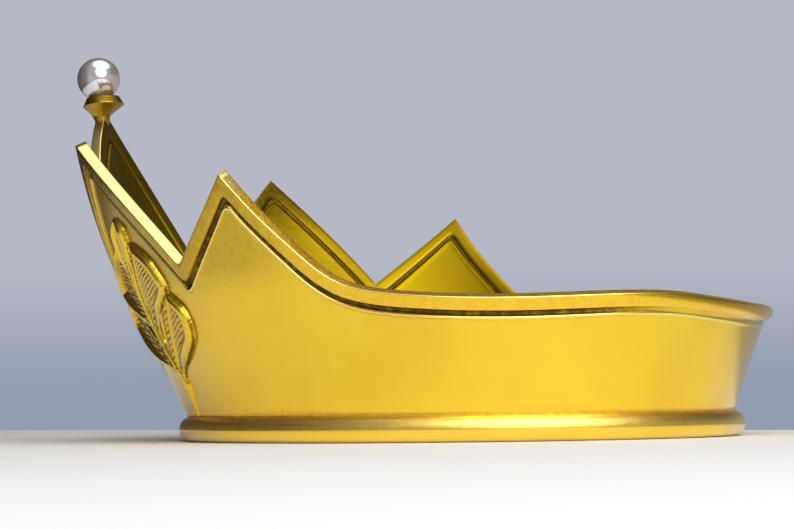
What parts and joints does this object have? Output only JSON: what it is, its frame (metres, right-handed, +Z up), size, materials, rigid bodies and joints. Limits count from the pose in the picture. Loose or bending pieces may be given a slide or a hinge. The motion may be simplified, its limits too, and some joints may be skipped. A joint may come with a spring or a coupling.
{
  "type": "crown",
  "caption": "Rigid gilt head crown with graduated points at the front, a low back, leaf reliefs and a pearl on the front point.",
  "frame": {"origin": "centre of the base opening, on the plane that the base bead stands on", "axes": "+Z up; -Y to the front, the side of the tallest point and the pearl; +Y to the low back; +X to the wearer's left"},
  "size_m": [0.2154, 0.2652, 0.1466],
  "materials": {
    "gilt": "satin metallic gold paint with a fine sparkle, over cast resin, darker in the grooves",
    "pearl": "glossy silver-grey pearl lustre",
    "peg": "plain drawn wire"
  },
  "bodies": {
    "root": {"crown_body": "gilt", "pearl": "pearl", "pearl_peg": "peg"}
  },
  "joints": []
}
